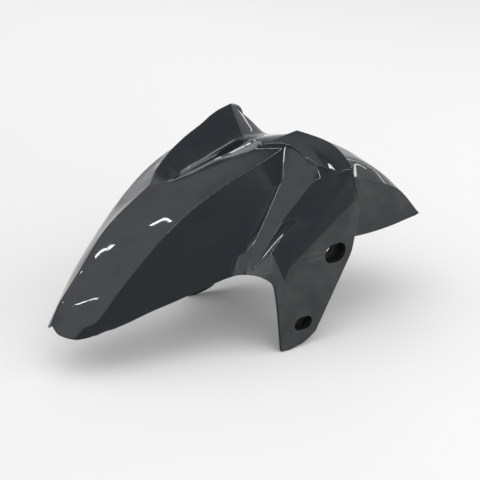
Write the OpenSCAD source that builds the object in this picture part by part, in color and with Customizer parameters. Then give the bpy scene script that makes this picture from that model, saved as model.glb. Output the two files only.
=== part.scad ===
// Motorcycle front mudguard: one thin moulded shell over the front of the wheel,
// with a split centre ridge, two shoulders that run down into bolted fork arms,
// and a narrower tail behind the fork. The shell is laid out round the wheel
// axle: +X runs to the rear, Y across the machine, +Z up. The finished part
// then stands with its origin at the bottom centre of its box.

/* [Shell] */
// Radius of the crown over the wheel axle
crown_r = 320; // [300:1:335]
// Thickness of the moulding
wall = 3; // [2:0.5:4]
// How far the two ridge ends stand above the crown radius
tip_rise = 26; // [18:1:34]
// Half width of the shell between its ridge ends
tip_half_w = 62; // [56:1:66]
// Angle of the nose ahead of the point over the axle
nose_angle = 64; // [56:0.5:70]
// Half width of the nose at its lower corner
nose_half_w = 36; // [28:1:40]

/* [Tail] */
// Half width of the tail, to the outside of its side walls
tail_half_w = 60; // [50:1:66]
// Angle of the tail's rear edge behind the point over the axle
tail_angle = 50; // [44:0.5:56]
// Height of the tail's lower edge above the axle
tail_hem_z = 189; // [175:1:200]

/* [Mounting arms] */
// Half width over the flat outer faces of the arms
arm_half_w = 96; // [92:1:108]
// Half width over the outermost points of the shoulders
shoulder_half_w = 104; // [102:1:112]
// Height of the arms' lower ends above the axle
arm_foot_z = 77; // [60:1:90]
// Distance between the two bolts of an arm
bolt_spacing = 94; // [84:1:104]
// Lean of the bolt line to the rear of the vertical
bolt_rake = 26.5; // [22:0.5:30]
// Lower bolt's distance behind the axle
bolt_x = 11; // [6:1:16]
// Lower bolt's height above the axle
bolt_z = 109; // [104:1:118]
// Diameter of the bolt holes
bolt_d = 9; // [6:0.5:11]
// Height of the upper bolt's recess
upper_recess_d = 25; // [18:1:28]
// Length of the upper bolt's recess, fore and aft
upper_recess_l = 34; // [30:1:36]
// Height of the lower bolt's recess
lower_recess_d = 17; // [15:1:22]
// Length of the lower bolt's recess, fore and aft
lower_recess_l = 28; // [24:1:32]
// Depth of the recesses below the arm's outer face
recess_depth = 13; // [8:1:16]
// Thickness of the recess walls and floors
cup_wall = 2.5; // [2:0.5:3]

/* [Hidden] */

// Rows along the shell at which the surface is set out: 0 is the nose, 3 the
// point where the ridge splits, 6 the crease before the shoulder, 7 the edge
// of the shoulder, 10 the ridge end and the rear edge of the arm
fore_rows = [0, 0.3, 0.6, 0.9, 1.2, 1.6, 2, 2.5, 3];
wing_rows = [3.3, 3.6, 4, 4.3, 4.75, 5.2, 5.6, 6, 6.15, 6.3, 6.65, 7, 7.2, 7.35,
             7.5, 7.7, 7.9, 8.1, 8.3, 8.55, 8.8, 9.1, 9.4, 9.7, 10];
rows = concat(fore_rows, wing_rows);
// Rows behind the ridge ends: 11.5 is the front of the tail's side wall
tail_rows = [10.35, 10.7, 11.1, 11.5, 12.3, 13.2, 14, 15, 16, 17, 18, 19, 20];
crown_rows = concat([3], wing_rows, tail_rows);
// Steps across each strip of the wing, the crown and the tail's side wall
top_steps = [3, 3];
side_steps = [3, 3, 3, 2, 2];
crown_steps = [3, 3];
wall_steps = [2, 2];

// A point at a distance from the axle and an angle behind the vertical
function polar(u, a, r, w, sharp = 0) = [u, [r * sin(a), w, r * cos(a)], sharp];
// A point by its distance behind and above the axle
function flat(u, x, z, w, sharp = 0) = [u, [x, w, z], sharp];

c = crown_r;
n = nose_angle;
nw = nose_half_w;
aw = arm_half_w;
sw = shoulder_half_w;
tw = tail_half_w;
az = arm_foot_z;
hz = tail_hem_z;
t = tail_angle;

// The ridge: one line from the nose to the split, then one on each side
ridge = [
  polar(0, -n, c - 1, 0), polar(0.6, -n + 5, c + 2, 0),
  polar(1.2, -n + 12.5, c, 0), polar(2, -41.5, c + 6, 0),
  polar(3, -29, c + 7, 0, 1), polar(3.6, -25.5, c + 3, 19),
  polar(4.3, -20.5, c + 4.5, 33), polar(5.2, -14, c + 7.5, 46),
  polar(6, -9, c + tip_rise - 14, tip_half_w - 10),
  polar(7, -5.5, c + tip_rise - 8.5, tip_half_w - 5),
  polar(10, 0.5, c + tip_rise, tip_half_w)];
// Middle of the top face, ending at the rear edge of the shoulder
top_mid = [
  polar(0, -n - 1.3, c - 13, nw - 16), polar(0.6, -n + 3.5, c - 14, nw - 14),
  polar(1.2, -n + 10.5, c - 15, nw - 11), polar(2, -43.5, c - 13, 29),
  polar(3, -31.5, c - 10, 35), polar(4.3, -19.5, c - 5, 47),
  polar(6, -5.5, c + 10.5, 58), polar(7, -1.5, c + 12, 68),
  polar(8.5, 2.7, c + 12.8, 78), polar(10, 6.9, c + 14.3, sw - 16.7)];
// The crease between the top face and the side, then round the shoulder's top
crease = [
  polar(0, -n + 1.5, c - 34, nw), polar(0.6, -n + 5.5, c - 29, nw + 4),
  polar(1.2, -n + 13.5, c - 28, nw + 8), polar(2, -40, c - 25, 49),
  polar(3, -30.5, c - 18, 54), polar(4.3, -20, c - 10.5, 60),
  polar(6, -2.9, c + 6, 61.5, 1), polar(6.3, -0.8, c + 13.8, 63, 1),
  polar(7, 1.8, c - 12.2, sw - 19.5, 1), polar(8, 5, c - 13.4, sw - 7.6),
  polar(8.5, 7.2, c - 17, sw - 5.6), polar(10, 11.4, c - 10.9, sw - 1)];
// Upper line of the side, which becomes the lower edge of the shoulder's top
upper_side = [
  polar(0, -n + 2, c - 38, nw + 1), polar(0.6, -n + 5.8, c - 36.5, nw + 6),
  polar(1.2, -n + 13, c - 39.5, nw + 10.3), polar(2, -40.5, c - 44, 51),
  polar(3, -30.5, c - 43, 56), polar(4.3, -18.5, c - 38, 62),
  polar(6, -4, c - 34.7, 67.6, 1), polar(7, 1.8, c - 27.8, sw - 11, 1),
  polar(8.5, 8.4, c - 21.8, sw - 7), polar(9.7, 11.2, c - 13.7, sw, 1),
  polar(10, 13.1, c - 23.5, sw - 2)];
// Middle line of the side and of the shoulder's outer face
mid_side = [
  polar(0, -n + 3, c - 42.5, nw + 2), polar(0.6, -n + 6.3, c - 44, nw + 7.3),
  polar(1.2, -n + 12.7, c - 51.5, nw + 12), polar(2, -42, c - 65, 52),
  polar(3, -30, c - 70, 57), polar(4.3, -19, c - 74, 63),
  polar(6, -11.2, c - 79.8, 71.2, 1), polar(7, -6.2, c - 71.2, aw - 11, 1),
  polar(8.5, 4.2, c - 71, aw), polar(9.7, 14, c - 35, aw + 3, 1),
  polar(10, 17.4, c - 45.4, aw + 1.5)];
// Edge between the shoulder and the flat of the arm, with its pointed tongue
arm_edge = [
  polar(0, -n + 4, c - 47, nw + 4), polar(0.6, -n + 6.8, c - 51, nw + 8.6),
  polar(1.2, -n + 12.5, c - 62, nw + 13.2), polar(2, -43, c - 85, 53),
  polar(3, -30.5, c - 95, 58), polar(4.3, -20.5, c - 101, 64),
  flat(6, -64.5, 204.5, 72.7, 1), flat(7, -67, 188.8, aw - 14, 1),
  flat(7.5, -43.1, 209.5, aw - 8, 1), flat(7.9, -26, 173.2, aw, 1),
  flat(8.3, -19.6, 189.7, aw, 1), flat(9.7, 74.2, 258.5, aw + 3, 1),
  flat(10, 89.4, 245.7, aw - 0.5)];
// Line inside the arm, from the lower edge to the arm's rear corner
arm_mid = [
  polar(0, -n + 4.5, c - 50.5, nw + 5), polar(0.6, -n + 7.4, c - 57.5, nw + 9.5),
  polar(1.2, -n + 12.7, c - 71, nw + 13.8), polar(2, -43, c - 93.5, 54),
  polar(3, -31, c - 106, 59), polar(4.3, -23, c - 111.5, 65),
  flat(6, -69, 195, 73.7, 1), flat(7, -67.7, 187, aw - 13.5, 1),
  flat(7.5, -46, 189, aw - 2), flat(7.9, -34, 163, aw),
  flat(8.3, -15, 159, aw), flat(10, 82, 189, aw)];
// The lower edge: along the side, round the arch and down the arm
lower_edge = [
  polar(0, -n + 5.5, c - 54.5, nw + 6), polar(0.6, -n + 8, c - 63.5, nw + 10),
  polar(1.2, -n + 13, c - 79.5, nw + 14), polar(2, -43, c - 100.5, 55),
  polar(3, -32, c - 117.5, 60), polar(4.3, -25.5, c - 122, 66),
  flat(6, -74, 183.3, 75), flat(7, -68.4, 184.7, aw - 12.7),
  flat(7.2, -63.1, 184.1, aw - 8), flat(7.35, -57.8, 181.9, aw - 4.5),
  flat(7.6, -45.4, 173.2, aw), flat(7.8, -39.7, 163.8, aw),
  flat(8, -35.2, 145.3, aw), flat(8.8, -22, az + 1, aw, 1),
  flat(9.1, -7, az, aw, 1), flat(9.5, 15, az + 4.8, aw),
  flat(10, 33.6, az + 15.7, aw, 1)];

// Centre line of the valley between the ridges and of the tail
crown_mid = [
  polar(3, -29, c + 7, 0, 1), polar(3.6, -25, c - 4, 0),
  polar(4.3, -20, c - 9.5, 0), polar(5.2, -12, c - 9, 0),
  polar(6, -7.5, c - 8.5, 0), polar(7, -3.5, c - 5.5, 0), polar(10, 3, c - 0.5, 0),
  polar(11.5, 12, c + 2, 0), polar(14, 24, c + 1, 0),
  polar(17, t - 13, c - 1, 0), polar(20, t, c - 2.5, 0)];
// Foot of the slopes beside the valley, then the shoulder of the tail's crown
crown_foot = [
  polar(3, -29, c + 7, 0, 1), polar(3.6, -24.5, c - 12, 8),
  polar(4.3, -20, c - 13.5, 13), polar(5.2, -14, c - 17, 19),
  polar(6, -9, c - 16, 26), polar(7, -5.5, c - 13.5, 29),
  polar(10, 0.5, c - 10, 33, 1), polar(11.5, 11, c - 12.5, tw - 10),
  polar(14, 24, c - 8, tw - 22), polar(17, t - 13, c - 4.5, tw - 24),
  polar(20, t, c - 5.5, tw - 26)];
// Outer edge behind the ridge end, then the crease over the tail's side wall
tail_edge = [
  polar(10, 0.5, c + tip_rise, tip_half_w, 1), polar(10.7, 6.5, c + 3, 62),
  polar(11.5, 10.5, c - 12, tw, 1), polar(14, 24, c - 30, tw + 1),
  polar(17, t - 12.5, c - 13.5, tw), polar(20, t, c - 10, tw)];
// Middle and lower edge of the tail's side wall
wall_mid = [
  flat(11.5, 80, hz + 57, tw), flat(14, 129, hz + 37, tw + 1),
  polar(17, t - 9.5, c - 36, tw), polar(20, t - 0.2, c - 12.5, tw)];
wall_hem = [
  flat(11.5, 105, hz, tw), flat(14, 140, hz - 1, tw),
  polar(17, t - 6, c - 55, tw), polar(20, t - 0.4, c - 15, tw)];

// Smooth line through the points of a feature, with a corner at sharp ones
function slope(a, i) = (a[i + 1][1] - a[i][1]) / (a[i + 1][0] - a[i][0]);
function blend(a, i) =
  let(h = a[i][0] - a[i - 1][0], g = a[i + 1][0] - a[i][0])
  (slope(a, i - 1) * g + slope(a, i) * h) / (h + g);
function slope_out(a, i) = i == 0 || a[i][2] == 1 ? slope(a, i) : blend(a, i);
function slope_in(a, i) =
  i == len(a) - 1 || a[i][2] == 1 ? slope(a, i - 1) : blend(a, i);
function span(a, u, i = 0) = i >= len(a) - 2 || u < a[i + 1][0] ? i : span(a, u, i + 1);
function along(a, u) =
  let(i = span(a, u), h = a[i + 1][0] - a[i][0], s = (u - a[i][0]) / h)
  (2 * s ^ 3 - 3 * s ^ 2 + 1) * a[i][1] + (s ^ 3 - 2 * s ^ 2 + s) * h * slope_out(a, i)
  + (3 * s ^ 2 - 2 * s ^ 3) * a[i + 1][1] + (s ^ 3 - s ^ 2) * h * slope_in(a, i + 1);

// Top face at one row: a smooth arch near the nose, two flats between the ridge's
// split and the shoulder, and slightly bowed ones over the shoulder
function arch(p, s) =
  (2 * s - 1) * (s - 1) * p[0] + 4 * s * (1 - s) * p[1] + s * (2 * s - 1) * p[2];
function flats(p, s) = s < 0.5 ? p[0] + (p[1] - p[0]) * 2 * s
                               : p[1] + (p[2] - p[1]) * (2 * s - 1);
function top_face(p, u) =
  let(q = max(clip((4.3 - u) / 1.3, 1), 0.3 * clip((u - 6.4) / 0.6, 1)), m = top_steps[0] + top_steps[1])
  [for (k = [0 : m]) q * arch(p, k / m) + (1 - q) * flats(p, k / m)];
function tail_of(list) = [for (i = [1 : len(list) - 1]) list[i]];

// Points across the strips between the lines at one row
function across(ps, steps) = [
  for (j = [0 : len(steps) - 1])
    for (k = [j == 0 ? 0 : 1 : steps[j]])
      ps[j] + (ps[j + 1] - ps[j]) * k / steps[j]];
function row_points(lines, u) = [for (a = lines) along(a, u)];
function side_of(p, s) = [p[0], s * p[1], p[2]];

top_lines = [ridge, top_mid, crease];
side_lines = [crease, upper_side, mid_side, arm_edge, arm_mid, lower_edge];
wing_grid = [for (u = rows) concat(
  top_face(row_points(top_lines, u), u),
  tail_of(across(row_points(side_lines, u), side_steps)))];
ni = len(rows) - 1;
nj = len(wing_grid[0]) - 1;
split_i = len(fore_rows) - 1;
tip_k = ni - split_i;

// Half of the crown, from the centre to its edge on the ridge or the tail
function crown_half(u, k) = across(
  [along(crown_mid, u), along(crown_foot, u),
   k <= tip_k ? wing_grid[split_i + k][0] : along(tail_edge, u)], crown_steps);
crown_halves = [for (k = [0 : len(crown_rows) - 1]) crown_half(crown_rows[k], k)];
nk = len(crown_rows) - 1;
nc = len(crown_halves[0]) - 1;
crown_grid = [for (h = crown_halves) concat(
  [for (q = [nc : -1 : 1]) side_of(h[q], -1)], [for (q = [0 : nc]) h[q]])];

wall_k = tip_k + 4;
wall_grid = [for (k = [wall_k : nk]) across(
  [crown_halves[k][nc], along(wall_mid, crown_rows[k]), along(wall_hem, crown_rows[k])],
  wall_steps)];
nt = nk - wall_k;
nd = len(wall_grid[0]) - 1;

// Outward direction at a grid point, taken over two steps each way
function clip(v, top) = max(0, min(top, v));
function cross_at(g, i, j, reach) =
  let(a = len(g) - 1, b = len(g[0]) - 1,
      v = cross(g[clip(i + reach, a)][j] - g[clip(i - reach, a)][j],
                g[i][clip(j + reach, b)] - g[i][clip(j - reach, b)]))
  norm(v) < 1e-9 ? [0, 0, 0] : v / norm(v);
function unit(v) = v / norm(v);

wing_dir = [for (i = [0 : ni]) [for (j = [0 : nj]) cross_at(wing_grid, i, j, 2)]];
crown_dir = [for (k = [0 : nk]) [for (q = [0 : 2 * nc]) cross_at(crown_grid, k, q, 2)]];
wall_dir = [for (k = [0 : nt]) [for (d = [0 : nd]) cross_at(wall_grid, k, d, 1)]];

// Directions shared along the ridges, the centre and the top of the side wall
function wing_out(i, j) =
  j > 0 ? wing_dir[i][j] :
  i <= split_i ? unit([wing_dir[i][0][0], 0, wing_dir[i][0][2]]) :
  unit(wing_dir[i][0] + crown_dir[i - split_i][2 * nc]);
function crown_out(k, q) =
  k >= wall_k && abs(q - nc) == nc ?
    unit(crown_dir[k][q] + side_of(wall_dir[k - wall_k][0], q > nc ? 1 : -1)) :
    crown_dir[k][q];

// All points of the outer skin, then their partners on the inner skin
half_wing = [for (i = [0 : ni]) for (j = [0 : nj]) [wing_grid[i][j], wing_out(i, j)]];
half_wall = [for (k = [0 : nt]) for (d = [0 : nd]) [wall_grid[k][d], wall_dir[k][d]]];
crown_all = [for (k = [0 : nk]) for (q = [0 : 2 * nc]) [crown_grid[k][q], crown_out(k, q)]];
function far(list) = [for (e = list) e];
function near(list) = [for (e = list) [side_of(e[0], -1), side_of(e[1], -1)]];
skin = concat(near(half_wing), far(half_wing), crown_all, near(half_wall), far(half_wall));
count = len(skin);

// Place of each grid point in the list; a shared point has one place
nw_all = (ni + 1) * (nj + 1);
nt_all = (nt + 1) * (nd + 1);
crown_0 = 2 * nw_all;
wall_0 = crown_0 + (nk + 1) * (2 * nc + 1);
function near_wing(i, j) = i * (nj + 1) + j;
function far_wing(i, j) = j == 0 && i <= split_i ? near_wing(i, 0) : nw_all + i * (nj + 1) + j;
function crown_at(k, q) =
  k == 0 ? near_wing(split_i, 0) :
  k <= tip_k && q == 0 ? near_wing(split_i + k, 0) :
  k <= tip_k && q == 2 * nc ? far_wing(split_i + k, 0) :
  crown_0 + k * (2 * nc + 1) + q;
function near_wall(k, d) = d == 0 ? crown_at(wall_k + k, 0) : wall_0 + k * (nd + 1) + d;
function far_wall(k, d) =
  d == 0 ? crown_at(wall_k + k, 2 * nc) : wall_0 + nt_all + k * (nd + 1) + d;

// Triangles of a four-sided cell; a cell that closes to a point gives one
function cell(p, q, r, s) = p == q ? [[p, r, s]] : [[p, q, r], [p, r, s]];
function turned(p, q, r, s) = p == q ? [[p, r, s]] : [[q, r, s], [q, s, p]];
wing_near_faces = [for (i = [0 : ni - 1]) for (j = [0 : nj - 1]) each
  cell(near_wing(i, j), near_wing(i + 1, j), near_wing(i + 1, j + 1), near_wing(i, j + 1))];
wing_far_faces = [for (i = [0 : ni - 1]) for (j = [0 : nj - 1]) each
  cell(far_wing(i, j), far_wing(i, j + 1), far_wing(i + 1, j + 1), far_wing(i + 1, j))];
crown_faces = [for (k = [0 : nk - 1]) for (q = [0 : 2 * nc - 1]) each
  q < nc ?
    turned(crown_at(k, q), crown_at(k, q + 1), crown_at(k + 1, q + 1), crown_at(k + 1, q)) :
    cell(crown_at(k, q), crown_at(k, q + 1), crown_at(k + 1, q + 1), crown_at(k + 1, q))];
wall_near_faces = [for (k = [0 : nt - 1]) for (d = [0 : nd - 1]) each
  cell(near_wall(k, d), near_wall(k + 1, d), near_wall(k + 1, d + 1), near_wall(k, d + 1))];
wall_far_faces = [for (k = [0 : nt - 1]) for (d = [0 : nd - 1]) each
  cell(far_wall(k, d), far_wall(k, d + 1), far_wall(k + 1, d + 1), far_wall(k + 1, d))];
skin_faces = concat(wing_near_faces, wing_far_faces, crown_faces, wall_near_faces,
                    wall_far_faces);

// The free edge of the sheet, all the way round
rim = concat(
  [for (j = [nj : -1 : 1]) near_wing(0, j)], [for (j = [0 : nj]) far_wing(0, j)],
  [for (i = [1 : ni]) far_wing(i, nj)], [for (j = [nj - 1 : -1 : 0]) far_wing(ni, j)],
  [for (k = [tip_k + 1 : wall_k]) crown_at(k, 2 * nc)],
  [for (d = [1 : nd]) far_wall(0, d)], [for (k = [1 : nt]) far_wall(k, nd)],
  [for (d = [nd - 1 : -1 : 0]) far_wall(nt, d)],
  [for (q = [2 * nc - 1 : -1 : 0]) crown_at(nk, q)],
  [for (d = [1 : nd]) near_wall(nt, d)], [for (k = [nt - 1 : -1 : 0]) near_wall(k, nd)],
  [for (d = [nd - 1 : -1 : 0]) near_wall(0, d)],
  [for (k = [wall_k - 1 : -1 : tip_k + 1]) crown_at(k, 0)],
  [for (j = [0 : nj]) near_wing(ni, j)], [for (i = [ni - 1 : -1 : 1]) near_wing(i, nj)]);
rim_faces = [for (e = [0 : len(rim) - 1]) each
  let(p = rim[e], q = rim[(e + 1) % len(rim)])
  [[p, q, q + count], [p, q + count, p + count]]];
inner_faces = [for (f = skin_faces) [f[0] + count, f[2] + count, f[1] + count]];

// Box of the part, for its place
xs = [for (e = skin) e[0][0]];
zs = [for (e = skin) e[0][2]];
box_x = (min(xs) + max(xs)) / 2;
box_z = min(zs);

module sheet() {
  polyhedron(
    points = concat([for (e = skin) e[0]], [for (e = skin) e[0] - wall * e[1]]),
    faces = concat(skin_faces, inner_faces, rim_faces), convexity = 10);
}

bolt_low = [bolt_x, bolt_z];
bolt_high = bolt_low + bolt_spacing * [sin(bolt_rake), cos(bolt_rake)];

// Places one bolt's shapes on the arm of one side, with +Z inwards
module at_bolt(at, side) {
  translate([at[0], side * arm_half_w, at[1]])
    rotate([side * 90, 0, 0])
      children();
}

// Upright shape with round ends, longer fore and aft than it is high
module slot(l, d, h) {
  for (end = [-1, 1])
    translate([end * (l - d) / 2, 0, 0])
      cylinder(d = d, h = h, $fn = 48);
  translate([-(l - d) / 2, -d / 2, 0])
    cube([l - d, d, h]);
}

// Cup moulded round one bolt
module cup(l, d) {
  slot(l + 2 * cup_wall, d + 2 * cup_wall, recess_depth + cup_wall);
}

// Recess and bolt hole cut from the outside
module cup_cut(l, d) {
  translate([0, 0, -2])
    slot(l, d, recess_depth + 2);
  cylinder(d = bolt_d, h = recess_depth + cup_wall + 1, $fn = 48);
}

module mudguard() {
  color([0.24, 0.27, 0.29])
    translate([-box_x, 0, -box_z])
      difference() {
        union() {
          sheet();
          for (side = [-1, 1]) {
            translate([0, -side * 0.5, 0])
              at_bolt(bolt_low, side)
                cup(lower_recess_l, lower_recess_d);
            translate([0, -side * 0.5, 0])
              at_bolt(bolt_high, side)
                cup(upper_recess_l, upper_recess_d);
          }
        }
        for (side = [-1, 1]) {
          at_bolt(bolt_low, side)
            cup_cut(lower_recess_l, lower_recess_d);
          at_bolt(bolt_high, side)
            cup_cut(upper_recess_l, upper_recess_d);
        }
      }
}

mudguard();
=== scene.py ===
"""Looks of a motorcycle front mudguard: one moulded shell, painted slate grey.

The shell is set out round the wheel's axle in millimetres: +X runs to the rear,
Y across the machine and +Z up. Feature lines run along the shell from the nose to
the tail, and the surface is stretched across them with a rounded corner at each
line. The finished mesh is moved to the part's own frame, in metres.
"""

import logging
import math
from dataclasses import dataclass, field
from enum import Enum

import bpy
import numpy as np
from mathutils import Matrix, Vector


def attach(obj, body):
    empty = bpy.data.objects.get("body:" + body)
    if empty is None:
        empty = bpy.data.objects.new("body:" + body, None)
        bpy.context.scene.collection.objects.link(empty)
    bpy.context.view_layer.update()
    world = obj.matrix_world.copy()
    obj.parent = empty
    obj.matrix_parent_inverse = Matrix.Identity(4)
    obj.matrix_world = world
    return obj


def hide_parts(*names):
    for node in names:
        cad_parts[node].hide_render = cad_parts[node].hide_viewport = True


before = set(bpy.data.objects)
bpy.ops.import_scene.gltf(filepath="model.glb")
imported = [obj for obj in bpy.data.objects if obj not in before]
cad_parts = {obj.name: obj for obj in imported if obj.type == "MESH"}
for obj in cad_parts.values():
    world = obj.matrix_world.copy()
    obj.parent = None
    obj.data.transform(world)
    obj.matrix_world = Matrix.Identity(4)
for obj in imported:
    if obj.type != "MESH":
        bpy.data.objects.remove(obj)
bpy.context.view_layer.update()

log = logging.getLogger("mudguard")
MM = 0.001
Array = np.ndarray
Object = bpy.types.Object
Color = tuple[float, float, float]
Place = tuple[float, float, float]
Pair = tuple[float, float]


class Zone(Enum):
    """Zones of the moulding, by the place of their finish in the material list."""

    PAINTED = 0
    PLAIN = 1
    # Walls of the bolt recesses and holes, coloured dark as painted shade
    RECESS = 2


class Bolt(Enum):
    """Bolts of an arm."""

    LOWER = "lower"
    UPPER = "upper"


# Shader nodes


class Socket:
    """A node's output, on which sums are written as Python expressions."""

    def __init__(self, graph: "Graph", output: bpy.types.NodeSocket) -> None:
        """Keeps the graph that new nodes join, and the output itself."""
        self.graph = graph
        self.output = output

    def _math(self, operation: str, *values: "Socket | float", clamp: bool = False) -> "Socket":
        """Adds a Math node of that operation on the given values."""
        settings = {"operation": operation, "use_clamp": clamp}
        return self.graph.node("ShaderNodeMath", settings, dict(enumerate(values)))

    def __add__(self, other: "Socket | float") -> "Socket":
        """This value plus the other."""
        return self._math("ADD", self, other)

    def __radd__(self, other: float) -> "Socket":
        """A number plus this value."""
        return self._math("ADD", other, self)

    def __sub__(self, other: "Socket | float") -> "Socket":
        """This value less the other."""
        return self._math("SUBTRACT", self, other)

    def __rsub__(self, other: float) -> "Socket":
        """A number less this value."""
        return self._math("SUBTRACT", other, self)

    def __mul__(self, other: "Socket | float") -> "Socket":
        """This value times the other."""
        return self._math("MULTIPLY", self, other)

    def __rmul__(self, other: float) -> "Socket":
        """A number times this value."""
        return self._math("MULTIPLY", other, self)

    def clamped(self) -> "Socket":
        """This value held between 0 and 1."""
        return self._math("ADD", self, 0.0, clamp=True)

    def maximum(self, other: "Socket | float") -> "Socket":
        """The larger of this value and the other."""
        return self._math("MAXIMUM", self, other)

    def step(self, low: float, high: float) -> "Socket":
        """A smooth rise from 0 at low to 1 at high."""
        levels = {"Value": self, "From Min": low, "From Max": high}
        return self.graph.node("ShaderNodeMapRange", {"interpolation_type": "SMOOTHSTEP"}, levels)


@dataclass(frozen=True)
class Pattern:
    """Patches of noise: features a metre, detail, roughness and the two levels between."""

    scale: float
    detail: float
    rough: float
    low: float
    high: float


@dataclass(frozen=True)
class Way:
    """How the coordinates of a drawn-out pattern are stretched and turned."""

    stretch: Place = (1, 1, 1)
    turn: Place = (0, 0, 0)


class Graph:
    """Builds the nodes of one material or world."""

    def __init__(self, tree: bpy.types.NodeTree) -> None:
        """Empties the tree that is to be filled."""
        self.tree = tree
        tree.nodes.clear()

    def node(
        self, kind: str, settings: dict | None = None, inputs: dict | None = None,
        output: int | str = 0,
    ) -> Socket:
        """Adds one node.

        Args:
            kind: the node's type.
            settings: attributes set before the inputs.
            inputs: values or sockets by input name or number.
            output: which output to hand back.

        Returns:
            The chosen output, wrapped.
        """
        made = self.tree.nodes.new(kind)
        for name, value in (settings or {}).items():
            setattr(made, name, value)
        for name, value in (inputs or {}).items():
            if isinstance(value, Socket):
                self.tree.links.new(value.output, made.inputs[name])
            else:
                made.inputs[name].default_value = value
        return Socket(self, made.outputs[output]) if made.outputs else Socket(self, None)

    def mix_color(self, factor: Socket | float, a: Socket | tuple, b: Socket | tuple) -> Socket:
        """Colour a where the factor is 0 and colour b where it is 1."""
        a, b = (color if isinstance(color, Socket) else (*color, 1.0) for color in (a, b))
        return self.node("ShaderNodeMix", {"data_type": "RGBA"}, {0: factor, 6: a, 7: b}, output=2)

    def place(self, way: Way = Way()) -> Socket:
        """Object coordinates, turned and stretched."""
        where = self.node("ShaderNodeTexCoord", output="Object")
        return self.node("ShaderNodeMapping", {}, {0: where, 2: way.turn, 3: way.stretch})

    def noise(self, scale: float, detail: float, rough: float, at: Socket) -> Socket:
        """Noise of about 0 to 1 at that many features a metre."""
        inputs = {"Vector": at, "Scale": scale, "Detail": detail, "Roughness": rough}
        return self.node("ShaderNodeTexNoise", {"normalize": True}, inputs)

    def bump(self, height: Socket, distance: float) -> Socket:
        """A surface normal from a height map whose full rise is distance, in metres."""
        inputs = {"Height": height, "Distance": distance, "Strength": 1.0}
        return self.node("ShaderNodeBump", {}, inputs)

    def patches(self, pattern: Pattern, at: Socket) -> Socket:
        """The pattern's noise, from 0 at its low level to 1 at its high one."""
        noise = self.noise(pattern.scale, pattern.detail, pattern.rough, at)
        return noise.step(pattern.low, pattern.high)

    def finish(self, inputs: dict) -> None:
        """Adds the principled shader with those inputs and joins it to the output."""
        shader = self.node("ShaderNodeBsdfPrincipled", {}, inputs)
        self.node("ShaderNodeOutputMaterial", {}, {"Surface": shader})


def new_material(name: str) -> tuple[bpy.types.Material, Graph]:
    """Starts a material.

    Args:
        name: name of the material.

    Returns:
        The empty material and the graph that fills it.
    """
    material = bpy.data.materials.new(name)
    material.use_nodes = True
    return material, Graph(material.node_tree)


# Finishes, and the painted shade of the bolt recesses


@dataclass(frozen=True)
class GlossPaint:
    """Dark slate paint under clear lacquer, with faint ripple, dust and wipe marks."""

    name: str = "slate_gloss_paint"
    color: Color = (0.0014, 0.0038, 0.0064)
    dust_color: Color = (0.080, 0.085, 0.084)
    dust_share: float = 0.05
    cloud: Pattern = Pattern(9.0, 4.0, 0.6, 0.35, 0.75)
    specks: Pattern = Pattern(900.0, 2.0, 0.7, 0.70, 0.80)
    speck_share: float = 0.65
    wipes: Pattern = Pattern(60.0, 3.0, 0.6, 0.45, 0.8)
    wipe_way: Way = Way((0.25, 1.0, 1.0), (0, 0.4, 0.3))
    wipe_roughness: float = 0.10
    wipe_wear: float = 0.15
    dust_roughness: float = 0.3
    roughness: float = 0.35
    specular: float = 0.0
    coat: float = 1.0
    coat_ior: float = 1.36
    coat_roughness: float = 0.03
    ripple_height: float = 0.000003
    ripples_per_metre: float = 160.0
    ripple_rough: float = 0.4

    def build(self) -> bpy.types.Material:
        """Makes the paint's material.

        Returns:
            The material, for the painted zone.
        """
        material, g = new_material(self.name)
        at = g.place()
        cloud = g.patches(self.cloud, at)
        specks = g.patches(self.specks, at)
        speckled = 1 - self.speck_share + self.speck_share * specks
        dust = (cloud * speckled * self.dust_share).clamped()
        color = g.mix_color(dust, self.color, self.dust_color)
        ripple = g.noise(self.ripples_per_metre, 1.0, self.ripple_rough, at)
        wipes = g.patches(self.wipes, g.place(self.wipe_way))
        normal = g.bump(ripple, self.ripple_height)
        g.finish({
            "Base Color": color,
            "Roughness": (
                self.roughness + self.wipe_roughness * wipes + self.dust_roughness * dust),
            "Specular IOR Level": self.specular,
            "Coat Weight": self.coat - self.wipe_wear * wipes * self.coat,
            "Coat Roughness": self.coat_roughness,
            "Coat IOR": self.coat_ior,
            "Normal": normal,
        })
        return material


@dataclass(frozen=True)
class RecessShade:
    """Painted shade inside the bolt recesses: a dark colour for the shadow there, with patches of
    dust.
    """

    name: str = "recess_painted_shade"
    # Dark colour that paints the shade inside the recesses
    color: Color = (0.0030, 0.0035, 0.0036)
    dust_color: Color = (0.045, 0.048, 0.045)
    dust: Pattern = Pattern(260.0, 3.0, 0.6, 0.5, 0.85)
    dust_share: float = 0.35
    dust_roughness: float = 0.2
    roughness: float = 0.55
    specular: float = 0.25

    def build(self) -> bpy.types.Material:
        """Makes the recess's material, whose dark colour is painted shade.

        Returns:
            The material, for the recess zone.
        """
        material, g = new_material(self.name)
        dust = g.patches(self.dust, g.place()) * self.dust_share
        g.finish({
            "Base Color": g.mix_color(dust, self.color, self.dust_color),
            "Roughness": self.roughness + self.dust_roughness * dust,
            "Specular IOR Level": self.specular,
        })
        return material


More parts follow.
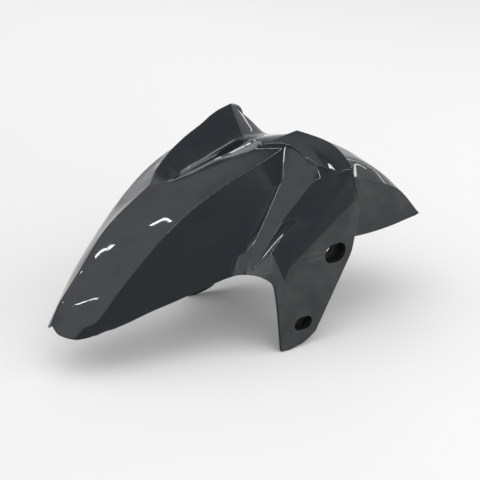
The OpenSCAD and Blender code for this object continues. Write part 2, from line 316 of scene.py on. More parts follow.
@dataclass(frozen=True)
class PlainMoulding:
    """Thinly coated moulding of the arms and the tail's sides, scuffed and speckled."""

    name: str = "scuffed_plain_moulding"
    color: Color = (0.0092, 0.0122, 0.0120)
    scuff_color: Color = (0.062, 0.070, 0.066)
    mark_color: Color = (0.0030, 0.0040, 0.0042)
    cloud: Pattern = Pattern(22.0, 4.0, 0.65, 0.35, 0.8)
    cloud_share: float = 0.30
    specks: Pattern = Pattern(700.0, 1.0, 0.5, 0.66, 0.78)
    speck_share: float = 0.35
    strokes: Pattern = Pattern(120.0, 2.0, 0.5, 0.62, 0.80)
    stroke_way: Way = Way((0.12, 1.0, 1.6), (0, 0.9, 0))
    stroke_share: float = 0.25
    stroke_rise: float = 0.6
    marks: Pattern = Pattern(95.0, 3.0, 0.65, 0.56, 0.74)
    mark_way: Way = Way((0.35, 1.0, 1.4), (0, -0.6, 0))
    mark_share: float = 0.75
    scuff_roughness: float = 0.18
    roughness: float = 0.42
    specular: float = 0.30
    grain_height: float = 0.00005
    grains_per_metre: float = 1100.0
    grain_rough: float = 0.6

    def build(self) -> bpy.types.Material:
        """Makes the plain moulding's material.

        Returns:
            The material, for the plain zone.
        """
        material, g = new_material(self.name)
        at = g.place()
        grain = g.noise(self.grains_per_metre, 2.0, self.grain_rough, at)
        cloud = self.cloud_share * g.patches(self.cloud, at)
        specks = self.speck_share * g.patches(self.specks, at)
        strokes = g.patches(self.strokes, g.place(self.stroke_way))
        scuff = (cloud + specks + self.stroke_share * strokes).clamped()
        marks = self.mark_share * g.patches(self.marks, g.place(self.mark_way))
        plain = g.mix_color(marks, self.color, self.mark_color)
        g.finish({
            "Base Color": g.mix_color(scuff, plain, self.scuff_color),
            "Roughness": self.roughness + self.scuff_roughness * scuff,
            "Specular IOR Level": self.specular,
            "Normal": g.bump(grain + self.stroke_rise * strokes, self.grain_height),
        })
        return material


# Feature lines and the surface between them

Anchor = tuple[float, float, float, float, bool]

# Steps round a corner, shares of a flat, and the limits that keep corners apart
CORNER_STEPS = 6
FLAT_SHARES = (0.12, 0.37, 0.63, 0.88)
HALF_BEND = (0.5, 0.625, 0.75, 0.875, 1.0)
WIDE_HALF_BEND = (0.5, 0.6, 0.7, 0.8, 0.9, 1.0)
MOST_REACH = 0.42
CENTRE_BEND = 1.6
STEPS_BELOW_ARM_EDGE = 18
LEAST_WIDTH = 1e-6
LEAST_LENGTH = 1e-12
ROUNDING = 1e-9


def polar(*rows: tuple) -> list[Anchor]:
    """Anchors by station, angle behind the vertical in degrees, radius and half width."""
    turned = [(u, math.radians(angle), r, *rest) for u, angle, r, *rest in rows]
    return flat(*((u, r * math.sin(a), r * math.cos(a), *rest) for u, a, r, *rest in turned))


def flat(*rows: tuple) -> list[Anchor]:
    """Anchors by station, place behind the axle, height above it and half width.

    True at the end of a row of either kind makes the anchor sharp.
    """
    return [(u, x, half_w, z, bool(sharp)) for u, x, z, half_w, *sharp in rows]


def ramp(u: Array, start: float, length: float) -> Array:
    """A straight change from 0 at start to 1 at start + length, level on either side."""
    return np.clip((u - start) / length, 0, 1)


def spans(stations: tuple, counts: tuple) -> Array:
    """Rows that cut each span between stations into that many steps, its start left out."""
    ends = zip(stations, stations[1:], counts)
    return np.concatenate([np.linspace(a, b, count + 1)[1:] for a, b, count in ends])


def bezier(a: Array, corner: Array, b: Array, s: Array) -> Array:
    """Points of the curve (1-s)^2 a + 2 s (1-s) corner + s^2 b, which rounds a corner."""
    return (1 - s) ** 2 * a + 2 * s * (1 - s) * corner + s**2 * b


def mirrored(points: Array) -> Array:
    """The same points on the other side of the centre plane: (x, -y, z)."""
    return points * np.array([1.0, -1.0, 1.0])


@dataclass(frozen=True)
class FeatureLine:
    """A smooth line through anchors, with a tight bend at the sharp ones.

    Between anchors the line is the cubic (2s^3-3s^2+1) p0 + (s^3-2s^2+s) h m0
    + (3s^2-2s^3) p1 + (s^3-s^2) h m1, where h is the span's length in stations
    and the slopes m are the mean of the neighbouring chords, each weighted by
    the other span. At an end or a sharp anchor the slope is the chord's own.
    """

    anchors: list[Anchor]
    bend: float = 0.045

    def _raw(self, u: Array) -> Array:
        """Works out the line with true corners.

        Args:
            u: stations, one for each row.

        Returns:
            A point for each station.
        """
        table = np.array([[float(v) for v in a] for a in self.anchors])
        at, point, sharp = table[:, 0], table[:, 1:4], table[:, 4] > 0
        span = np.diff(at)[:, None]
        chord = np.diff(point, axis=0) / span
        both = span[1:] + span[:-1]
        mean = (chord[:-1] * span[1:] + chord[1:] * span[:-1]) / both
        inner = sharp[1:-1, None]
        out = np.vstack([chord[:1], np.where(inner, chord[1:], mean)])
        into = np.vstack([np.where(inner, chord[:-1], mean), chord[-1:]])
        k = np.clip(np.searchsorted(at, u, side="right") - 1, 0, len(at) - 2)
        h = span[k]
        s = ((u - at[k]) / span[k, 0])[:, None]
        return (
            (2 * s**3 - 3 * s**2 + 1) * point[k]
            + (s**3 - 2 * s**2 + s) * h * out[k]
            + (3 * s**2 - 2 * s**3) * point[k + 1]
            + (s**3 - s**2) * h * into[k]
        )

    def at(self, u: Array) -> Array:
        """Works out the line with each inner corner rounded over the bend.

        Args:
            u: stations, one for each row.

        Returns:
            A point for each station.
        """
        points = self._raw(u)
        for corner in [a[0] for a in self.anchors[1:-1] if a[4]]:
            ends = self._raw(np.array([corner - self.bend, corner, corner + self.bend]))
            s = np.clip((u - corner + self.bend) / (2 * self.bend), 0, 1)[:, None]
            near = np.abs(u - corner)[:, None] < self.bend
            points = np.where(near, bezier(ends[0], ends[1], ends[2], s), points)
        return points


@dataclass
class Shell:
    """The moulded shell, set out round the axle in millimetres."""

    crown_r: float = 320.0
    wall: float = 3.0
    tip_rise: float = 26.0
    tip_half_w: float = 62.0
    nose_angle: float = 64.0
    nose_half_w: float = 36.0
    tail_half_w: float = 60.0
    tail_angle: float = 50.0
    tail_hem_z: float = 189.0
    arm_half_w: float = 96.0
    shoulder_half_w: float = 104.0
    arm_foot_z: float = 77.0
    rim_round: float = 0.9
    corner_r: float = 1.7
    soft_r: float = 9.0
    soft_end: float = 3.2
    soft_fade: float = 1.2
    ridge_r: float = 2.2
    split_r: float = 1.0
    split_fade: float = 0.5
    top_r: float = 6.0
    shoulder_r: float = 15.0
    side_r: float = 4.0
    crease_soft: float = 0.25
    arm_edge_soft: float = 0.5
    crown_corner_r: float = 7.0
    hem_r: float = 8.0
    nose_arch_end: float = 4.3
    nose_arch_fade: float = 1.3
    shoulder_arch: float = 0.3
    shoulder_start: float = 6.4
    shoulder_fade: float = 0.6
    split: float = 3.0
    tip: float = 10.0
    wall_front: float = 11.5
    tail_end: float = 20.0
    plain_start: float = 6.3
    axle: Place = (21.748, 0.0, -77.0)

    def top_lines(self) -> list[FeatureLine]:
        """Sets out the top face.

        Returns:
            The ridge, the middle of the top face and the crease below it.
        """
        c, n, nw, sw = self.crown_r, self.nose_angle, self.nose_half_w, self.shoulder_half_w
        peak, tip = c + self.tip_rise, self.tip_half_w
        ridge = FeatureLine(polar(
            (0, -n, c - 1, 0), (0.6, -n + 5, c + 2, 0), (1.2, -n + 12.5, c, 0),
            (2, -41.5, c + 6, 0), (3, -29, c + 7, 0, True), (3.6, -25.5, c + 3, 19),
            (4.3, -20.5, c + 4.5, 33), (5.2, -14, c + 7.5, 46), (6, -9, peak - 14, tip - 10),
            (7, -5.5, peak - 8.5, tip - 5), (10, 0.5, peak, tip),
        ), bend=0.001)
        middle = FeatureLine(polar(
            (0, -n - 1.3, c - 13, nw - 16), (0.6, -n + 3.5, c - 14, nw - 14),
            (1.2, -n + 10.5, c - 15, nw - 11), (2, -43.5, c - 13, 29), (3, -31.5, c - 10, 35),
            (4.3, -19.5, c - 5, 47), (6, -5.5, c + 10.5, 58), (7, -1.5, c + 12, 68),
            (8.5, 2.7, c + 12.8, 78), (10, 6.9, c + 14.3, sw - 16.7),
        ))
        crease = FeatureLine(polar(
            (0, -n + 1.5, c - 34, nw), (0.6, -n + 5.5, c - 29, nw + 4),
            (1.2, -n + 13.5, c - 28, nw + 8), (2, -40, c - 25, 49), (3, -30.5, c - 18, 54),
            (4.3, -20, c - 10.5, 60), (6, -2.9, c + 6, 61.5, True),
            (6.3, -0.8, c + 13.8, 63, True), (7, 1.8, c - 12.2, sw - 19.5, True),
            (8, 5, c - 13.4, sw - 7.6), (8.5, 7.2, c - 17, sw - 5.6), (10, 11.4, c - 10.9, sw - 1),
        ))
        return [ridge, middle, crease]

    def side_lines(self) -> list[FeatureLine]:
        """Sets out the side below the crease.

        Returns:
            The upper and middle lines, the arm's edge and middle, and the lower edge.
        """
        c, n, nw, sw = self.crown_r, self.nose_angle, self.nose_half_w, self.shoulder_half_w
        aw, foot = self.arm_half_w, self.arm_foot_z
        upper = FeatureLine(polar(
            (0, -n + 2, c - 38, nw + 1), (0.6, -n + 5.8, c - 36.5, nw + 6),
            (1.2, -n + 13, c - 39.5, nw + 10.3), (2, -40.5, c - 44, 51), (3, -30.5, c - 43, 56),
            (4.3, -18.5, c - 38, 62), (6, -4, c - 34.7, 67.6, True),
            (7, 1.8, c - 27.8, sw - 11, True), (8.5, 8.4, c - 21.8, sw - 7),
            (9.7, 11.2, c - 13.7, sw, True), (10, 13.1, c - 23.5, sw - 2),
        ))
        middle = FeatureLine(polar(
            (0, -n + 3, c - 42.5, nw + 2), (0.6, -n + 6.3, c - 44, nw + 7.3),
            (1.2, -n + 12.7, c - 51.5, nw + 12), (2, -42, c - 65, 52), (3, -30, c - 70, 57),
            (4.3, -19, c - 74, 63), (6, -11.2, c - 79.8, 71.2, True),
            (7, -6.2, c - 71.2, aw - 11, True), (8.5, 4.2, c - 71, aw),
            (9.7, 14, c - 35, aw + 3, True), (10, 17.4, c - 45.4, aw + 1.5),
        ))
        arm_edge = FeatureLine(polar(
            (0, -n + 4, c - 47, nw + 4), (0.6, -n + 6.8, c - 51, nw + 8.6),
            (1.2, -n + 12.5, c - 62, nw + 13.2), (2, -43, c - 85, 53), (3, -30.5, c - 95, 58),
            (4.3, -20.5, c - 101, 64),
        ) + flat(
            (6, -64.5, 204.5, 72.7, True), (7, -67, 188.8, aw - 14, True),
            (7.5, -43.1, 209.5, aw - 8, True), (7.9, -26, 173.2, aw, True),
            (8.3, -19.6, 189.7, aw, True), (9.7, 74.2, 258.5, aw + 3, True),
            (10, 89.4, 245.7, aw - 0.5),
        ))
        arm_middle = FeatureLine(polar(
            (0, -n + 4.5, c - 50.5, nw + 5), (0.6, -n + 7.4, c - 57.5, nw + 9.5),
            (1.2, -n + 12.7, c - 71, nw + 13.8), (2, -43, c - 93.5, 54), (3, -31, c - 106, 59),
            (4.3, -23, c - 111.5, 65),
        ) + flat(
            (6, -69, 195, 73.7, True), (7, -67.7, 187, aw - 13.5, True), (7.5, -46, 189, aw - 2),
            (7.9, -34, 163, aw), (8.3, -15, 159, aw), (10, 82, 189, aw),
        ))
        lower_edge = FeatureLine(polar(
            (0, -n + 5.5, c - 54.5, nw + 6), (0.6, -n + 8, c - 63.5, nw + 10),
            (1.2, -n + 13, c - 79.5, nw + 14), (2, -43, c - 100.5, 55), (3, -32, c - 117.5, 60),
            (4.3, -25.5, c - 122, 66),
        ) + flat(
            (6, -74, 183.3, 75), (7, -68.4, 184.7, aw - 12.7), (7.2, -63.1, 184.1, aw - 8),
            (7.35, -57.8, 181.9, aw - 4.5), (7.6, -45.4, 173.2, aw), (7.8, -39.7, 163.8, aw),
            (8, -35.2, 145.3, aw), (8.8, -22, foot + 1, aw, True), (9.1, -7, foot, aw, True),
            (9.5, 15, foot + 4.8, aw), (10, 33.6, foot + 15.7, aw, True),
        ))
        return [upper, middle, arm_edge, arm_middle, lower_edge]

    def crown_lines(self) -> list[FeatureLine]:
        """Sets out the valley and the tail.

        Returns:
            The centre line, the foot of the slopes and the tail's edge.
        """
        c, tw, t = self.crown_r, self.tail_half_w, self.tail_angle
        middle = FeatureLine(polar(
            (3, -29, c + 7, 0, True), (3.6, -25, c - 4, 0), (4.3, -20, c - 9.5, 0),
            (5.2, -12, c - 9, 0), (6, -7.5, c - 8.5, 0), (7, -3.5, c - 5.5, 0),
            (10, 3, c - 0.5, 0), (11.5, 12, c + 2, 0), (14, 24, c + 1, 0), (17, t - 13, c - 1, 0),
            (20, t, c - 2.5, 0),
        ))
        foot = FeatureLine(polar(
            (3, -29, c + 7, 0, True), (3.6, -24.5, c - 12, 8), (4.3, -20, c - 13.5, 13),
            (5.2, -14, c - 17, 19), (6, -9, c - 16, 26), (7, -5.5, c - 13.5, 29),
            (10, 0.5, c - 10, 33, True), (11.5, 11, c - 12.5, tw - 10), (14, 24, c - 8, tw - 22),
            (17, t - 13, c - 4.5, tw - 24), (20, t, c - 5.5, tw - 26),
        ))
        edge = FeatureLine(polar(
            (10, 0.5, c + self.tip_rise, self.tip_half_w, True), (10.7, 6.5, c + 3, 62),
            (11.5, 10.5, c - 12, tw, True), (14, 24, c - 30, tw + 1), (17, t - 12.5, c - 13.5, tw),
            (20, t, c - 10, tw),
        ), bend=0.12)
        return [middle, foot, edge]

    def tail_side_lines(self) -> list[FeatureLine]:
        """Sets out the tail's side wall.

        Returns:
            The middle and the lower edge of the wall.
        """
        c, tw, t, hem = self.crown_r, self.tail_half_w, self.tail_angle, self.tail_hem_z
        middle = FeatureLine(flat(
            (11.5, 80, hem + 57, tw), (14, 129, hem + 37, tw + 1),
        ) + polar(
            (17, t - 9.5, c - 36, tw), (20, t - 0.2, c - 12.5, tw),
        ))
        lower = FeatureLine(flat(
            (11.5, 105, hem, tw), (14, 140, hem - 1, tw),
        ) + polar(
            (17, t - 6, c - 55, tw), (20, t - 0.4, c - 15, tw),
        ))
        return [middle, lower]

    def rows(self) -> tuple[Array, Array, Array]:
        """Spaces the rows, closer at the shoulder.

        Returns:
            Stations ahead of the split, along the ridges, and behind their ends.
        """
        fore = np.linspace(0, self.split, 43)
        wing = spans((self.split, 6, 9, self.tip), (45, 90, 16))
        tail = spans((self.tip, self.wall_front, self.tail_end), (15, 44))
        return fore, wing, tail

    def build(self) -> "Skin":
        """Stretches the sheets over the lines and joins them.

        Returns:
            The outer skin as points, faces, their zones, and the rim in order.
        """
        fore, ridge_rows, tail_rows = self.rows()
        u = np.concatenate([fore, ridge_rows])
        v = np.concatenate([[self.split], ridge_rows, tail_rows])
        lines = np.stack([line.at(u) for line in self.top_lines() + self.side_lines()], axis=1)
        middle, foot, edge = self.crown_lines()
        n_fore, n_ridge = len(fore) - 1, len(ridge_rows)
        outer = np.concatenate([lines[n_fore:, 0], edge.at(tail_rows)])
        crown = np.stack([middle.at(v), foot.at(v), outer], axis=1)
        front = n_ridge + int(np.searchsorted(tail_rows, self.wall_front - ROUNDING)) + 1
        walls = [line.at(v[front:]) for line in self.tail_side_lines()]
        sides = np.stack([outer[front:], *walls], axis=1)

        shoulder = ramp(u, self.shoulder_start, self.shoulder_fade)
        nose_arch = ramp(u, self.nose_arch_end, -self.nose_arch_fade)
        wing = Strip(lines, np.maximum(nose_arch, self.shoulder_arch * shoulder)[:, None])
        valley = Strip(crown, np.zeros((len(v), 1)))
        hem = Strip(sides, np.zeros((len(v) - front, 1)))

        apart = ramp(np.abs(u - self.split), 0, self.split_fade)
        ridge_radius = self.split_r + (self.ridge_r - self.split_r) * apart
        wing_reach = wing.reach(0, ridge_radius)
        on_wing = wing.at(wing_reach)
        tail_radius = np.full(len(tail_rows), self.corner_r)
        ridge_reach = valley.reach(1, np.concatenate([ridge_radius[n_fore:], tail_radius]))
        on_crown = valley.at(2 - ridge_reach)
        hem_reach = hem.reach(0, np.full(len(v) - front, self.corner_r))
        on_hem = hem.at(hem_reach)

        beside_wing = np.concatenate([mirrored(on_wing[:n_fore]), on_crown[: n_ridge + 1]])
        beside_wing[n_fore] = mirrored(on_wing[n_fore])
        beside_crown = 2 * crown[:, 2] - on_crown
        beside_crown[: n_ridge + 1] = on_wing[n_fore:]
        beside_crown[front:] = on_hem

        soft = self.soft_r * ramp(u, self.soft_end, -self.soft_fade)
        wide = soft + (self.shoulder_r - self.top_r) * shoulder
        radii = [
            None, self.top_r + wide, self.corner_r + self.crease_soft * soft,
            self.corner_r + soft, self.side_r + soft,
            self.corner_r + self.arm_edge_soft * soft, self.top_r + soft,
        ]
        wing_grid = wing.sample(beside_wing, wing_reach, radii)
        half_crown = valley.sample_crown(beside_crown, ridge_reach, self.crown_corner_r)
        crown_grid = np.concatenate([mirrored(half_crown[:, :0:-1]), half_crown], axis=1)
        hem_radii = [None, np.full(len(v) - front, self.hem_r)]
        wall_grid = hem.sample(on_crown[front:], hem_reach, hem_radii)
        return Skin.join(wing_grid, crown_grid, wall_grid, n_fore, n_ridge, front, self)


@dataclass(frozen=True)
class Strip:
    """Lines side by side, and the points between them.

    At row i the point at t runs from line floor(t) to the next one in a straight
    line. On the first two strips of the top face it is mixed, by the row's share
    of bow, with the parabola through the three lines.
    """

    lines: Array
    bow: Array

    def at(self, t: Array) -> Array:
        """Works out one point in each row.

        Args:
            t: place across the lines, row by row.

        Returns:
            A point for each row.
        """
        rows = np.arange(len(self.lines))
        k = np.clip(np.floor(t).astype(int), 0, self.lines.shape[1] - 2)
        f = (t - k)[:, None]
        straight = (1 - f) * self.lines[rows, k] + f * self.lines[rows, k + 1]
        if self.lines.shape[1] < 3:
            return straight
        s = (t / 2)[:, None]
        arch = (
            (2 * s - 1) * (s - 1) * self.lines[:, 0]
            + 4 * s * (1 - s) * self.lines[:, 1]
            + s * (2 * s - 1) * self.lines[:, 2]
        )
        share = np.where(s <= 1, self.bow, 0)
        return share * arch + (1 - share) * straight

    def reach(self, k: int, radius: Array) -> Array:
        """Share of strip k that a corner of that radius takes at either end, with a limit."""
        width = np.linalg.norm(self.lines[:, k + 1] - self.lines[:, k], axis=1)
        return np.minimum(radius / np.maximum(width, LEAST_WIDTH), MOST_REACH)

    def corner(self, k: int, back: Array, ahead: Array) -> list[Array]:
        """Rounds the corner at line k.

        Args:
            k: number of the line.
            back: share of the strip before it that the corner takes.
            ahead: share of the strip after it that the corner takes.

        Returns:
            Columns of points from t = k - back to k + ahead.
        """
        a, b = self.at(k - back), self.at(k + ahead)
        mid = self.at(np.full(len(back), float(k)))
        return [bezier(a, mid, b, s) for s in np.linspace(0, 1, CORNER_STEPS + 1)]

    def between(self, start: Array, end: Array) -> list[Array]:
        """Points of the flat from start to end, both left out, closer near its ends."""
        return [self.at(start + (end - start) * s) for s in FLAT_SHARES]

    def sample(self, beside: Array, first: Array, radii: list) -> Array:
        """Points across all strips from line 0, whose corner is shared with another sheet.

        Args:
            beside: the neighbouring sheet's point at its reach from line 0, row by row.
            first: the reach of line 0's corner into this sheet.
            radii: radius of the corner at each inner line, in millimetres.

        Returns:
            Array of rows by points by 3.
        """
        start = self.at(np.zeros(len(first)))
        out = [bezier(beside, start, self.at(first), s) for s in HALF_BEND]
        last = self.lines.shape[1] - 1
        here = first
        for k in range(1, last):
            back, ahead = self.reach(k - 1, radii[k]), self.reach(k, radii[k])
            out += self.between(here, k - back) + self.corner(k, back, ahead)
            here = k + ahead
        end = np.full(len(first), float(last))
        out += self.between(here, end) + [self.at(end)]
        return np.stack(out, axis=1)

    def sample_crown(self, beside: Array, last: Array, radius: float) -> Array:
        """Points of half the crown, from its centre line to the edge at line 2.

        Args:
            beside: the point beyond the edge that rounds the edge's corner.
            last: the reach of that corner into this sheet.
            radius: radius of the corners at the centre and at the foot.

        Returns:
            Array of rows by points by 3.
        """
        wide = np.full(len(last), radius)
        centre = self.reach(0, CENTRE_BEND * wide)
        start = self.at(np.zeros(len(last)))
        inner = self.at(centre)
        out = [bezier(mirrored(inner), start, inner, s) for s in WIDE_HALF_BEND]
        back, ahead = self.reach(0, wide), self.reach(1, wide)
        out += self.between(centre, 1 - back) + self.corner(1, back, ahead)
        out += self.between(1 + ahead, 2 - last)
        end, edge = self.at(2 - last), self.at(np.full(len(last), 2.0))
        out += [bezier(end, edge, beside, 1 - s) for s in reversed(HALF_BEND)]
        return np.stack(out, axis=1)


@dataclass(frozen=True)
class Skin:
    """The outer skin: its points, faces of four corners, their zones, and the rim's order."""

    points: Array
    faces: Array
    zones: Array
    rim: Array

    @staticmethod
    def quads(grid: Array, flip: bool) -> Array:
        """Lists the faces of a grid.

        Args:
            grid: point numbers by row and column.
            flip: whether the faces look the other way.

        Returns:
            The four point numbers of each face.
        """
        faces = np.stack([grid[:-1, :-1], grid[1:, :-1], grid[1:, 1:], grid[:-1, 1:]], axis=-1)
        faces = faces.reshape(-1, 4)
        return faces[:, ::-1] if flip else faces

    @classmethod
    def join(
        cls, wing: Array, crown: Array, side: Array,
        n_fore: int, n_ridge: int, front: int, shell: Shell,
    ) -> "Skin":
        """Joins the sheets of both halves at the lines that they share.

        Args:
            wing: points of one half's top face and side, on the positive side.
            crown: points of the whole valley and tail.
            side: points of one of the tail's side walls, on the positive side.
            n_fore: number of the row at which the ridge splits.
            n_ridge: rows from there to the ridge ends.
            front: crown row at which the side wall starts.
            shell: the shell, for its stations.

        Returns:
            The joined skin.
        """
        blocks = [mirrored(wing), wing, crown, mirrored(side), side]
        sizes = [block.shape[0] * block.shape[1] for block in blocks]
        numbers = np.split(np.arange(sum(sizes)), np.cumsum(sizes)[:-1])
        near, far, top, near_side, far_side = (
            part.reshape(block.shape[:2]) for part, block in zip(numbers, blocks))
        far[: n_fore + 1, 0] = near[: n_fore + 1, 0]
        top[0, :] = near[n_fore, 0]
        top[1 : n_ridge + 1, 0] = near[n_fore + 1 :, 0]
        top[1 : n_ridge + 1, -1] = far[n_fore + 1 :, 0]
        near_side[:, 0] = top[front:, 0]
        far_side[:, 0] = top[front:, -1]

        sheets = [(near, True), (far, False), (top, False), (near_side, True), (far_side, False)]
        quads = [cls.quads(grid, flip) for grid, flip in sheets]
        u = np.concatenate(shell.rows()[:2])
        columns = np.arange(wing.shape[1] - 1)
        below_edge = columns >= len(columns) - STEPS_BELOW_ARM_EDGE
        on_arm = np.outer(u[:-1] > shell.plain_start, below_edge).ravel()
        on_crown, on_wall = np.zeros(len(quads[2]), bool), np.ones(len(quads[3]), bool)
        zones = np.concatenate([on_arm, on_arm, on_crown, on_wall, on_wall]).astype(int)

        rim = np.concatenate([
            near[0, :0:-1], far[0, :-1], far[:-1, -1], far[-1, :0:-1],
            top[n_ridge:front, -1], far_side[0, :-1], far_side[:-1, -1], far_side[-1, :0:-1],
            top[-1, :0:-1], near_side[-1, :-1], near_side[:0:-1, -1], near_side[0, :0:-1],
            top[front:n_ridge:-1, 0], near[-1, :-1], near[:0:-1, -1],
        ])
        points = np.concatenate([b.reshape(-1, 3) for b in blocks])
        used, inverse = np.unique(np.concatenate(quads), return_inverse=True)
        place = np.zeros(len(points), int)
        place[used] = np.arange(len(used))
        return cls(points[used], inverse.reshape(-1, 4), zones, place[rim])


def face_directions(points: Array, faces: Array) -> Array:
    """Each face's area direction: the cross product of its two diagonals."""
    p = points[faces]
    return np.cross(p[:, 2] - p[:, 0], p[:, 3] - p[:, 1])


def point_sums(count: int, faces: Array, values: Array) -> Array:
    """Adds up, at each point, the values of the faces that meet there.

    Args:
        count: how many points there are.
        faces: point numbers of each face.
        values: values of each face, in columns.

    Returns:
        The sums by point.
    """
    total = np.zeros((count, values.shape[1]))
    np.add.at(total, faces.ravel(), np.repeat(values, faces.shape[1], axis=0))
    return total


def unit(vectors: Array) -> Array:
    """The vectors at length 1."""
    length = np.linalg.norm(vectors, axis=1, keepdims=True)
    return vectors / np.maximum(length, LEAST_LENGTH)


def new_object(name: str, data: bpy.types.ID) -> Object:
    """Links a new object to the scene.

    Args:
        name: name of the object.
        data: its mesh, light or camera.

    Returns:
        The object.
    """
    made = bpy.data.objects.new(name, data)
    bpy.context.collection.objects.link(made)
    return made


@dataclass
class Mudguard:
    """The whole moulding: the shell, its bolt cups and its finishes."""

    shell: Shell
    paint: GlossPaint
    plain: PlainMoulding
    # Colour of the recess walls: painted shade
    recess: RecessShade
    bolt_spacing: float = 94.0
    bolt_rake: float = 26.5
    bolt_x: float = 11.0
    bolt_z: float = 109.0
    bolt_d: float = 9.0
    upper_recess: Pair = (34.0, 25.0)
    lower_recess: Pair = (28.0, 17.0)
    recess_depth: float = 13.0
    cup_wall: float = 2.5
    even_passes: int = 40
    drum_facets: int = 96
    cup_start: float = 0.5
    cut_start: float = -2.0
    cut_through: float = 1.5
    sharp_angle: float = 38.0
    rim_turns: tuple[float, ...] = (60.0, 30.0, 0.0, -30.0, -60.0)
    materials: list = field(default_factory=list)

    def thicken(self, skin: Skin) -> tuple[Array, Array, Array]:
        """Gives the skin its wall and a rounded rim.

        The inner point is p - wall n, where n is the mean direction round p, evened
        over its neighbours. Round the rim, with the edge direction d and the outward
        direction e = d x n, the edge is c + wall/2 sin(a) n + r cos(a) e for a from
        90 to -90 degrees, where c is the middle of the wall a distance r inside.

        Args:
            skin: the outer skin.

        Returns:
            Points, faces of four corners and the zone of each face.
        """
        points, faces, rim = skin.points, skin.faces, skin.rim
        count, wall, r = len(points), self.shell.wall, self.shell.rim_round
        direction = unit(point_sums(count, faces, face_directions(points, faces)))
        for _ in range(self.even_passes):
            around = point_sums(count, faces, direction[faces].mean(axis=1))
            direction = unit(direction + unit(around))

        edge = points[rim]
        along = unit(np.roll(edge, -1, axis=0) - np.roll(edge, 1, axis=0))
        outward = unit(np.cross(along, direction[rim]))
        centres = np.concatenate([points[faces].mean(axis=1), np.ones((len(faces), 1))], axis=1)
        middle = point_sums(count, faces, centres)[rim]
        away = edge - middle[:, :3] / middle[:, 3:]
        outward *= np.sign((outward * away).sum(axis=1, keepdims=True))

        outer = points.copy()
        outer[rim] = edge - r * outward
        inner = outer - wall * direction
        centre = (outer[rim] + inner[rim]) / 2
        rings = [
            centre + wall / 2 * math.sin(a) * direction[rim] + r * math.cos(a) * outward
            for a in np.radians(self.rim_turns)
        ]
        all_points = np.concatenate([outer, inner, *rings])
        n = len(rim)
        between = [2 * count + k * n + np.arange(n) for k in range(len(rings))]
        loops = [rim, *between, rim + count]
        rim_faces = np.concatenate([
            np.stack([a, np.roll(a, -1), np.roll(b, -1), b], axis=1)
            for a, b in zip(loops, loops[1:])
        ])
        all_faces = np.concatenate([faces, faces[:, ::-1] + count, rim_faces])
        inside = np.full(len(faces), Zone.PLAIN.value)
        zones = np.concatenate([skin.zones, inside, np.full(len(rim_faces), Zone.PAINTED.value)])
        return all_points, all_faces, zones

    def place(self, points: Array) -> Array:
        """Points of the axle's frame, in millimetres, in the part's frame, in metres."""
        return (points + np.array(self.shell.axle)) * MM

    def bolts(self) -> dict[Bolt, tuple[float, float, Pair]]:
        """Places an arm's bolts along the fork's rake.

        Returns:
            By bolt, its place behind and above the axle and its recess's length and height.
        """
        a, apart, x, z = math.radians(self.bolt_rake), self.bolt_spacing, self.bolt_x, self.bolt_z
        upper = (x + apart * math.sin(a), z + apart * math.cos(a), self.upper_recess)
        return {Bolt.LOWER: (x, z, self.lower_recess), Bolt.UPPER: upper}

    def drum(self, x: float, z: float, size: Pair, span: Pair, side: int) -> Array:
        """Works out a closed drum across the machine.

        A point is (x + d/2 cos a +- (l - d)/2, side (w - depth), z + d/2 sin a), where
        l and d are the drum's length and height and w is the arm's half width. The
        half turn ahead is moved forwards and the half turn behind is moved back.

        Args:
            x: place of its middle behind the axle.
            z: height of its middle above the axle.
            size: its length and height.
            span: depths of its two ends, counted inwards from the arm's face.
            side: -1 on the near arm and 1 on the far one.

        Returns:
            The points of one end and then those of the other.
        """
        length, d = size
        n = self.drum_facets
        a = np.linspace(0, 2 * np.pi, n, endpoint=False) + np.pi / n
        apart = np.sign(np.cos(a)) * (length - d) / 2
        ring = [x + d / 2 * np.cos(a) + apart, np.zeros(n), z + d / 2 * np.sin(a)]
        ring, half_w = np.stack(ring, axis=1), self.shell.arm_half_w
        ends = np.array([[0.0, side * (half_w - depth), 0.0] for depth in span])
        return np.concatenate([ring + ends[0], ring + ends[1]])

    def mesh(self, name: str, points: Array, faces: list, zones: Array) -> Object:
        """Makes an object with the finishes of its zones.

        Args:
            name: name of the object and its mesh.
            points: points of the axle's frame, in millimetres.
            faces: point numbers of each face.
            zones: zone of each face.

        Returns:
            The object.
        """
        mesh = bpy.data.meshes.new(name)
        mesh.from_pydata(self.place(points).tolist(), [], faces)
        for material in self.materials:
            mesh.materials.append(material)
        mesh.polygons.foreach_set("material_index", zones)
        return new_object(name, mesh)

    def solid(self, name: str, points: Array, side: int, zone: Zone) -> Object:
        """Closes a drum with faces that look outwards.

        Args:
            name: name of the object.
            points: the drum's points.
            side: -1 on the near arm and 1 on the far one.
            zone: zone of all its faces.

        Returns:
            The object.
        """
        n = len(points) // 2
        k = np.arange(n)
        around = np.stack([k, np.roll(k, -1), np.roll(k, -1) + n, k + n], axis=1)
        faces = [*around.tolist(), k[::-1].tolist(), (k + n).tolist()]
        if side < 0:
            faces = [face[::-1] for face in faces]
        return self.mesh(name, points, faces, np.full(len(faces), zone.value))

    @staticmethod
    def combine(piece: Object, tools: list[Object], operation: str) -> None:
        """Joins the tools to the piece, or cuts them from it, and removes them.

        Args:
            piece: the piece, whose mesh is replaced.
            tools: the solids to join or cut away.
            operation: UNION or DIFFERENCE.
        """
        for tool in tools:
            step = piece.modifiers.new(tool.name, "BOOLEAN")
            step.operation, step.solver, step.object = operation, "EXACT", tool
        bpy.context.view_layer.update()
        evaluated = piece.evaluated_get(bpy.context.evaluated_depsgraph_get())
        mesh = bpy.data.meshes.new_from_object(evaluated)
        piece.modifiers.clear()
        piece.data = mesh
        for tool in tools:
            bpy.data.objects.remove(tool)

